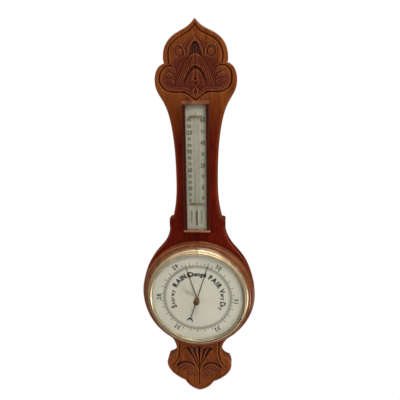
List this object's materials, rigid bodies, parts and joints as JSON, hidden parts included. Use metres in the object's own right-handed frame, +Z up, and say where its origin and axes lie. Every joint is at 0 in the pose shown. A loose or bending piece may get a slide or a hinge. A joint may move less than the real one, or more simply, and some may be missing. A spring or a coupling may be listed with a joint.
{
  "type": "aneroid barometer",
  "caption": "Carved wall barometer: long oak board, round aneroid dial with a pressure hand and a set hand, and a boxed thermometer in its neck.",
  "frame": {"origin": "centre of the hanging hole, on the back face of the hanger plate", "axes": "+Z up along the board towards the crest, +Y into the wall, +X to the right of someone reading the dial"},
  "size_m": [0.2476, 0.0655, 0.8105],
  "materials": {
    "carved_oak": "dark stained oak, french polished",
    "turned_oak": "stained oak, turned and polished",
    "box_wood": "red-brown stained oak",
    "seat_wood": "plain pine, unpolished",
    "lacquered_brass": "lacquered, satin, a little tarnished",
    "movement_brass": "satin",
    "screw_brass": "satin",
    "knob_brass": "darkened with age",
    "set_hand_brass": "old lacquer",
    "opal_scale": "opal white, printed scale",
    "dial_enamel": "cream white, printed scale",
    "clear_glass": "polished",
    "liquid": "mercury",
    "blued_steel": "blued steel",
    "movement_steel": "ground",
    "capsule_metal": "nickel silver, bright",
    "washer_leather": "worn"
  },
  "bodies": {
    "case": {"case_board": "carved_oak", "dial_surround": "turned_oak", "hanger_plate": "lacquered_brass", "hanger_screws": "screw_brass", "box_rail_left": "box_wood", "box_rail_right": "box_wood", "box_rail_top": "box_wood", "box_rail_bottom": "box_wood", "thermometer_glass": "clear_glass", "thermometer_plate": "opal_scale", "thermometer_tube": "clear_glass", "thermometer_column": "liquid", "tube_clips": "lacquered_brass", "clip_pins": "screw_brass", "movement_case": "movement_brass", "case_screws": "screw_brass", "dial_seat_ring": "seat_wood", "dial_plate": "dial_enamel", "sight_ring": "lacquered_brass", "dial_glass": "clear_glass", "bezel": "lacquered_brass", "bezel_screws": "screw_brass", "glass_bush": "lacquered_brass", "bush_nut": "lacquered_brass", "base_plate": "movement_brass", "base_screws": "screw_brass", "capsule_stud": "movement_brass", "capsule_lower": "capsule_metal", "capsule_upper": "capsule_metal", "spring_carriage": "movement_brass", "spring_clamp": "movement_brass", "main_spring": "movement_steel", "spring_screws": "movement_steel", "bar_bearings": "movement_brass", "bearing_screws": "movement_steel", "arbor_bridge": "movement_brass", "arbor_cock": "movement_brass", "pillars": "movement_brass", "bridge_screws": "movement_steel", "hairspring": "blued_steel", "hairspring_stud": "movement_brass"},
    "hand": {"pressure_hand": "blued_steel", "hand_arbor": "movement_steel", "chain_drum": "movement_brass", "hairspring_collet": "movement_brass"},
    "set_hand": {"set_hand": "set_hand_brass", "set_spindle": "knob_brass", "set_knob": "knob_brass", "friction_washer": "washer_leather"},
    "rocking_bar": {"rocking_bar": "movement_steel"},
    "chain": {"chain": "movement_steel"},
    "link": {"link_rod": "movement_brass"},
    "lever": {"main_lever": "movement_brass", "lever_screws": "movement_steel"},
    "post": {"capsule_post": "movement_steel", "post_pin": "movement_steel"},
    "adjuster": {"adjusting_screw": "movement_steel"}
  },
  "joints": [
    {"name": "pressure_hand_turn", "type": "hinge", "parent": "case", "child": "hand", "pos_m": [0, -0.022, -0.515], "axis": [0, 1, 0], "range_deg": [-167.5, 132.5], "deforming": ["hairspring"]},
    {"name": "set_hand_turn", "type": "hinge", "parent": "case", "child": "set_hand", "pos_m": [0, -0.022, -0.515], "axis": [0, 1, 0], "continuous": true},
    {"name": "rocking_bar_turn", "type": "hinge", "parent": "case", "child": "rocking_bar", "pos_m": [0.042, -0.016, -0.515], "axis": [0, 0, 1], "range_deg": [-16.8, 13.3]},
    {"name": "chain_pull", "type": "slide", "parent": "case", "child": "chain", "axis": [1, 0, 0], "range_m": [-0.0047, 0.0038]},
    {"name": "link_travel", "type": "slide", "parent": "case", "child": "link", "axis": [0, 1, 0], "range_m": [-0.0012, 0.00095]},
    {"name": "lever_tilt", "type": "hinge", "parent": "case", "child": "lever", "pos_m": [-0.046, -0.0198, -0.515], "axis": [0, 0, 1], "range_deg": [-0.74, 0.59], "deforming": ["main_spring"]},
    {"name": "capsule_travel", "type": "slide", "parent": "case", "child": "post", "axis": [0, 1, 0], "range_m": [-0.0006, 0.0005], "deforming": ["capsule_upper"]},
    {"name": "adjusting_screw_turn", "type": "hinge", "parent": "case", "child": "adjuster", "pos_m": [-0.041, -0.007, -0.515], "axis": [0, 1, 0], "range_deg": [-360, 360]}
  ],
  "couplings": [
    {"joint": "rocking_bar_turn", "follows": "pressure_hand_turn", "ratio": 0.1},
    {"joint": "chain_pull", "follows": "pressure_hand_turn", "m_per_rad": 0.0016},
    {"joint": "link_travel", "follows": "pressure_hand_turn", "m_per_rad": 0.0004},
    {"joint": "lever_tilt", "follows": "pressure_hand_turn", "ratio": 0.0043478},
    {"joint": "capsule_travel", "follows": "pressure_hand_turn", "m_per_rad": 0.0002}
  ]
}
